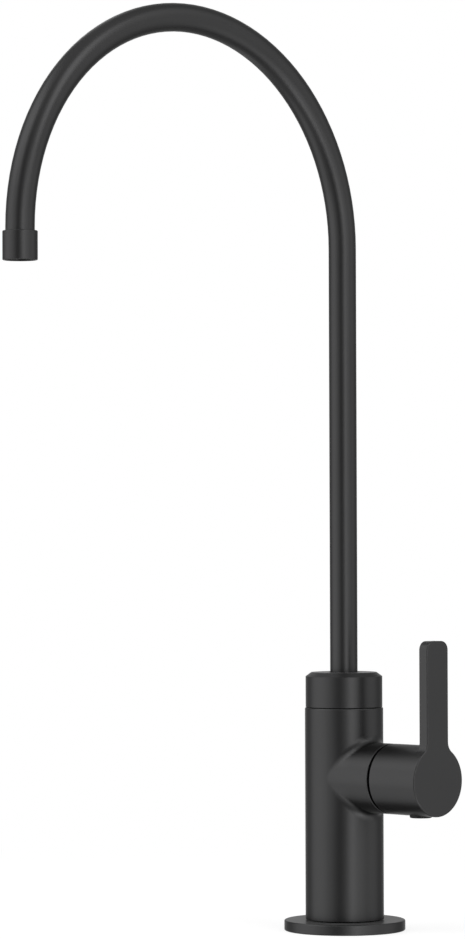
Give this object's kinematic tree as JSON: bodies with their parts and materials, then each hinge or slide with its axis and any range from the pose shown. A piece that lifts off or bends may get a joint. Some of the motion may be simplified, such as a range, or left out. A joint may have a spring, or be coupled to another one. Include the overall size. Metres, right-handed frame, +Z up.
{
  "type": "drinking water filter tap",
  "caption": "Deck-mounted drinking water tap: slim upright body, tall swivelling gooseneck spout and a quarter-turn side lever.",
  "frame": {"origin": "on the body's upright axis, in the plane of the deck that the base flange stands on", "axes": "+Z up along the body, the spout's arch points to -Y, and the branch with the lever points to +X"},
  "size_m": [0.0696, 0.1849, 0.3959],
  "materials": {
    "black_coated_metal": "satin black coating, fine even texture",
    "black_plug_plastic": "matt black",
    "plain_brass": "turned, uncoated",
    "white_glide_plastic": "natural white, moulded",
    "dark_glide_plastic": "black, moulded",
    "aerator_plastic": "dark grey, moulded",
    "seal_rubber": "soft black rubber",
    "disc_ceramic": "ground and lapped",
    "bare_steel": "stainless, bare"
  },
  "bodies": {
    "base": {"base_flange": "black_coated_metal", "base_gasket": "seal_rubber", "mounting_shank": "plain_brass", "shank_seal": "seal_rubber", "body": "black_coated_metal", "collar_nut": "black_coated_metal", "lower_glide_ring": "white_glide_plastic", "upper_glide_ring": "dark_glide_plastic", "cartridge_housing": "plain_brass", "cartridge_seal": "seal_rubber", "seat_seal": "seal_rubber", "fixed_disc": "disc_ceramic", "handle_glide_ring": "dark_glide_plastic", "deck_washer": "seal_rubber", "support_washer": "bare_steel", "lock_nut": "plain_brass"},
    "spout": {"spout_tube": "black_coated_metal", "swivel_stub": "plain_brass", "swivel_seal_lower": "seal_rubber", "swivel_seal_upper": "seal_rubber", "aerator_sleeve": "black_coated_metal", "aerator_washer": "seal_rubber", "aerator_body": "aerator_plastic", "flow_straightener": "aerator_plastic", "aerator_screen": "bare_steel"},
    "lever": {"handle": "black_coated_metal", "set_screw": "bare_steel", "screw_plug": "black_plug_plastic", "spindle": "plain_brass", "spindle_seal_inner": "seal_rubber", "spindle_seal_outer": "seal_rubber", "spindle_clip": "bare_steel", "moving_disc": "disc_ceramic"}
  },
  "joints": [
    {"name": "spout_swivel", "type": "hinge", "parent": "base", "child": "spout", "pos_m": [0, 0, 0.0817], "axis": [0, 0, 1], "continuous": true},
    {"name": "handle_turn", "type": "hinge", "parent": "base", "child": "lever", "pos_m": [0.0363, 0, 0.0565], "axis": [1, 0, 0], "range_deg": [0, 90]}
  ]
}
